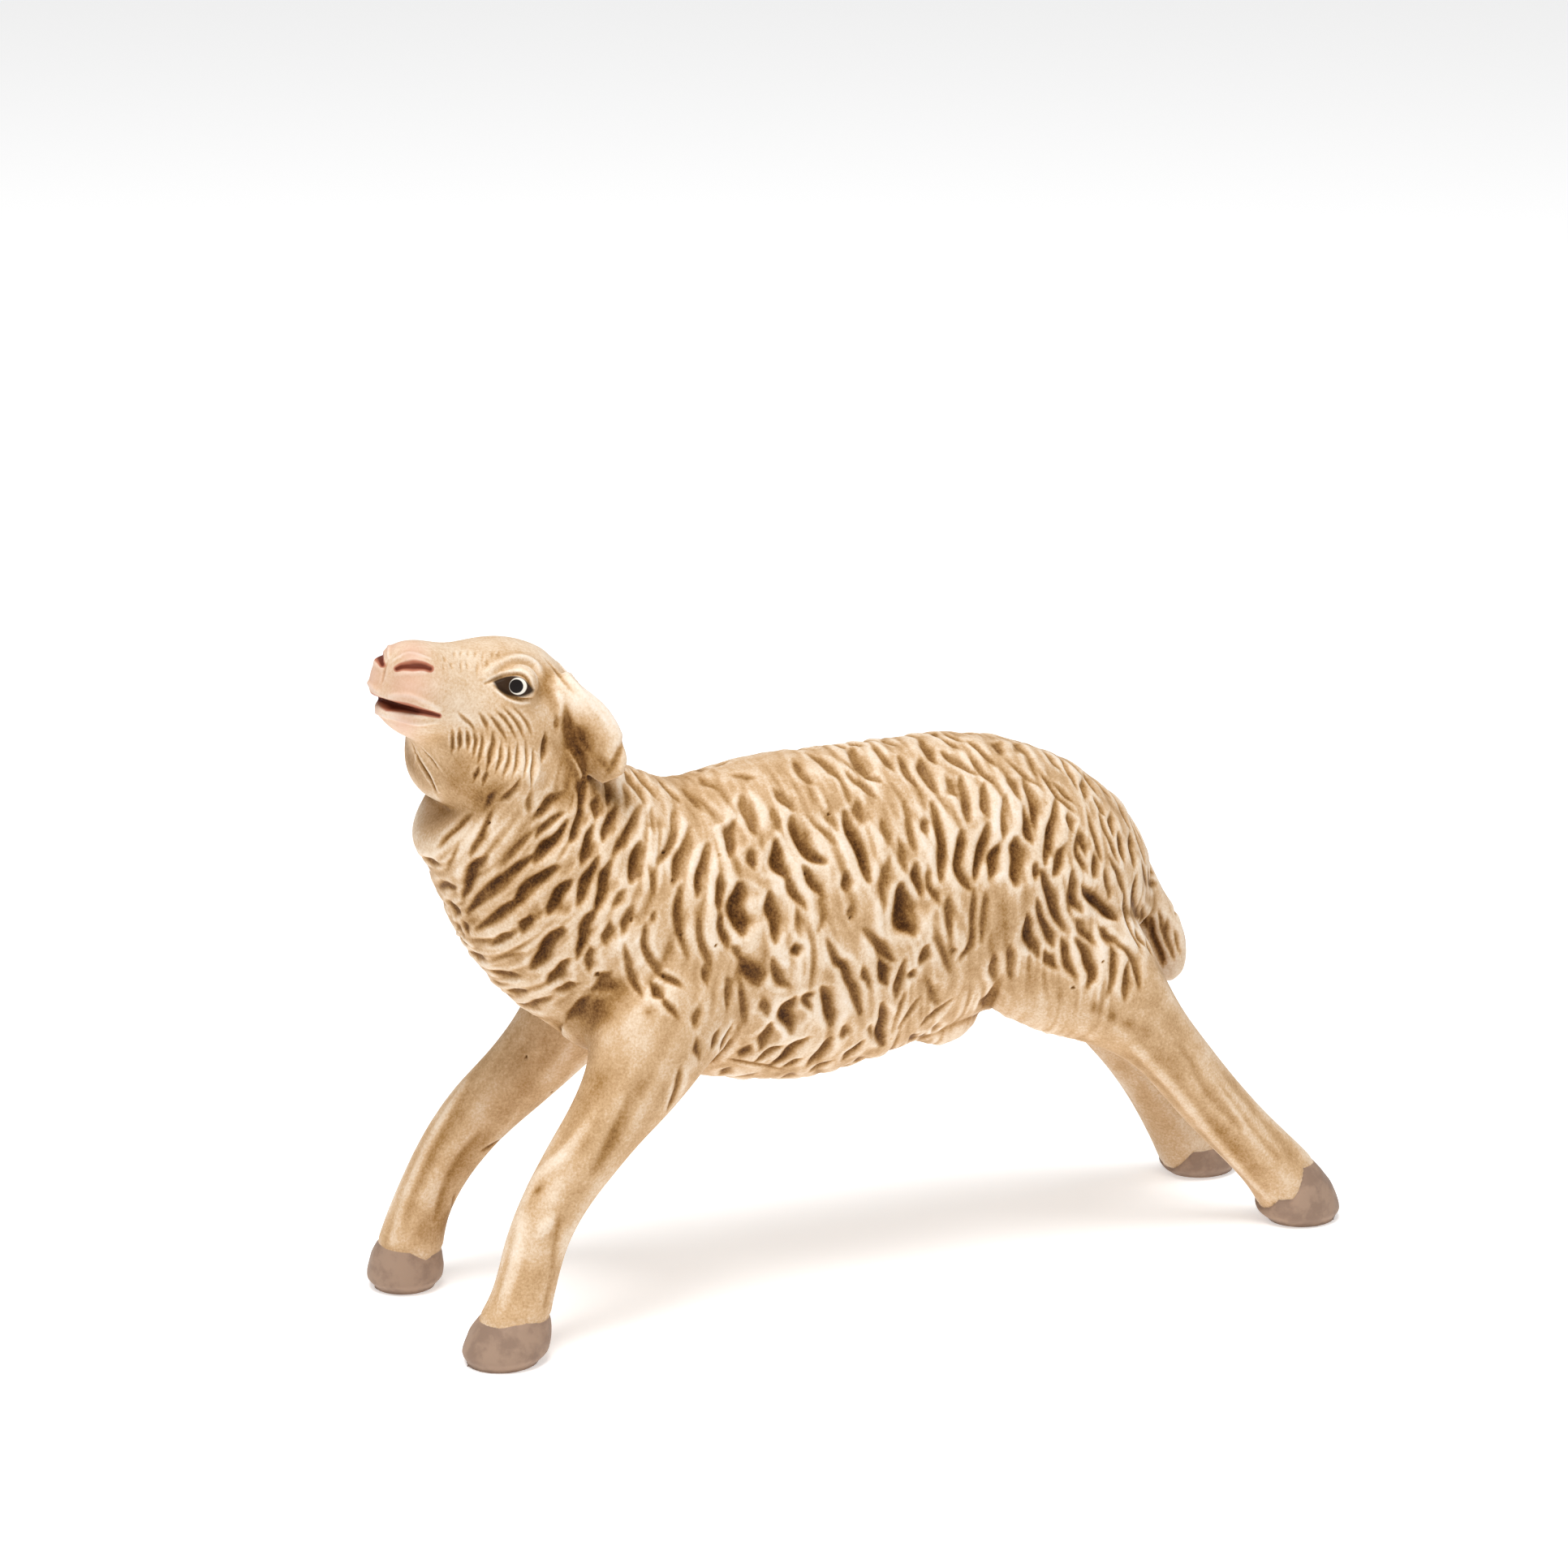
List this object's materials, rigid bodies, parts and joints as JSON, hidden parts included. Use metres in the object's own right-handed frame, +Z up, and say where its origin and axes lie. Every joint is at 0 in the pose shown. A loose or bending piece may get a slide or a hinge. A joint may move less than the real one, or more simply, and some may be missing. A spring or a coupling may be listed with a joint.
{
  "type": "sheep figurine",
  "caption": "Standing sheep figurine with raised, turned head, open mouth, drooping ears, carved fleece and thin splayed legs, hand painted, for a mantel or nativity display.",
  "frame": {"origin": "middle of the figure's footprint box, on the surface that it stands on", "axes": "+Z up; the sheep faces -X and its left side is towards -Y"},
  "size_m": [0.113, 0.0328, 0.077],
  "materials": {
    "painted_fleece": "cream paint with a brown wash in the carving, satin",
    "painted_face": "cream paint, blushed muzzle, painted eyes, satin",
    "painted_leg": "tan paint with grey-brown hooves, satin",
    "wire": "drawn iron wire"
  },
  "bodies": {
    "root": {"body_left_shell": "painted_fleece", "body_right_shell": "painted_fleece", "head": "painted_face", "left_ear": "painted_face", "right_ear": "painted_face", "tail": "painted_fleece", "front_left_leg": "painted_leg", "front_right_leg": "painted_leg", "rear_left_leg": "painted_leg", "rear_right_leg": "painted_leg", "front_left_leg_wire": "wire", "front_right_leg_wire": "wire", "rear_left_leg_wire": "wire", "rear_right_leg_wire": "wire"}
  },
  "joints": []
}
